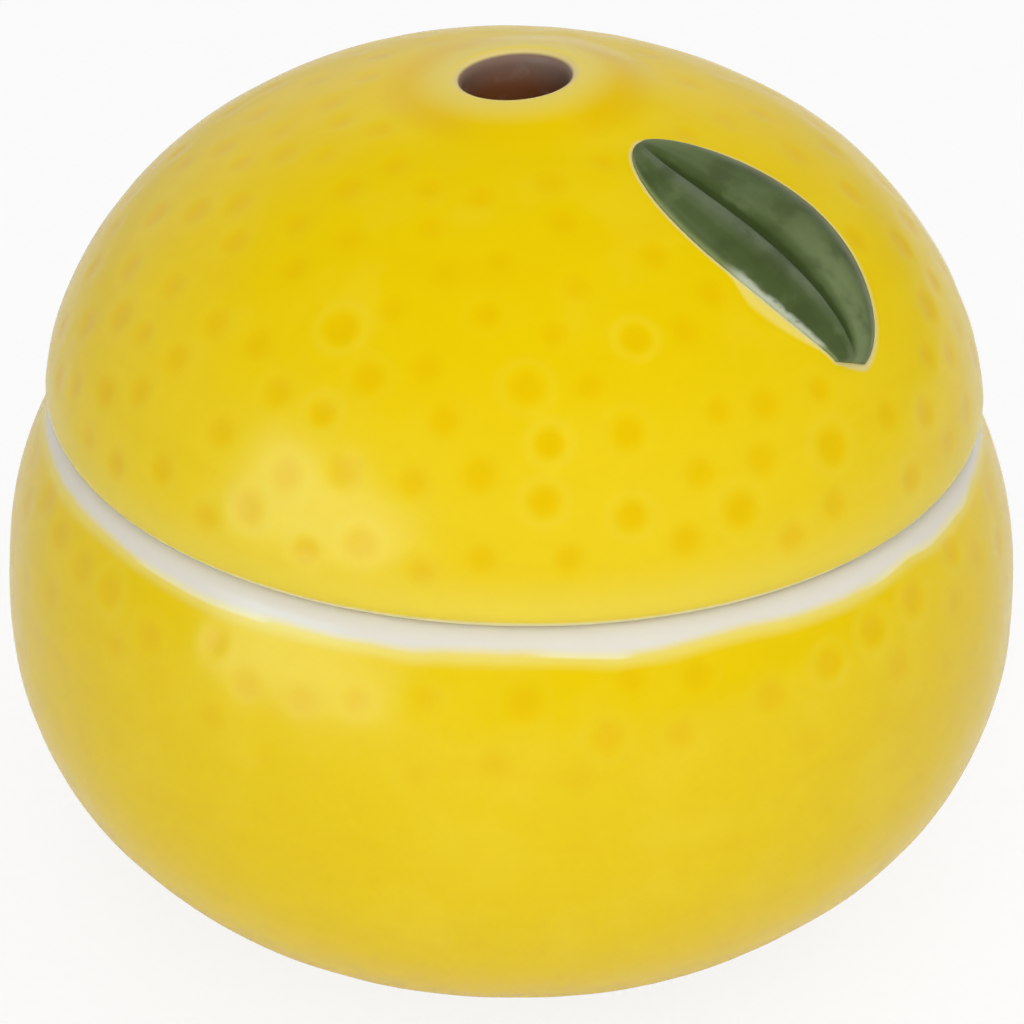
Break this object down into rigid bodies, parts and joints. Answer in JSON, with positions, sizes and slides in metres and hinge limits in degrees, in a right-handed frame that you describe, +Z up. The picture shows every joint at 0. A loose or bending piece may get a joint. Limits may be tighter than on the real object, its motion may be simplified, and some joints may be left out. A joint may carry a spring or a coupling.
{
  "type": "lidded bowl",
  "caption": "Round citrus-shaped lidded bowl in yellow glazed earthenware, with a domed lift-off lid, a hole through the lid's nub and a green relief leaf.",
  "frame": {"origin": "centre of the foot ring, on the plane that the bowl stands on", "axes": "+Z up along the axis of the bowl and lid; the leaf lies towards +X and -Y"},
  "size_m": [0.12, 0.12, 0.1061],
  "materials": {
    "yellow_glaze": "gloss",
    "green_glaze": "gloss"
  },
  "bodies": {
    "bowl": {"bowl": "yellow_glaze"},
    "lid": {"lid": "yellow_glaze", "leaf": "green_glaze"}
  },
  "joints": [
    {"name": "lid_lift", "type": "slide", "parent": "bowl", "child": "lid", "axis": [0, 0, 1], "range_m": [0, 0.1]}
  ]
}
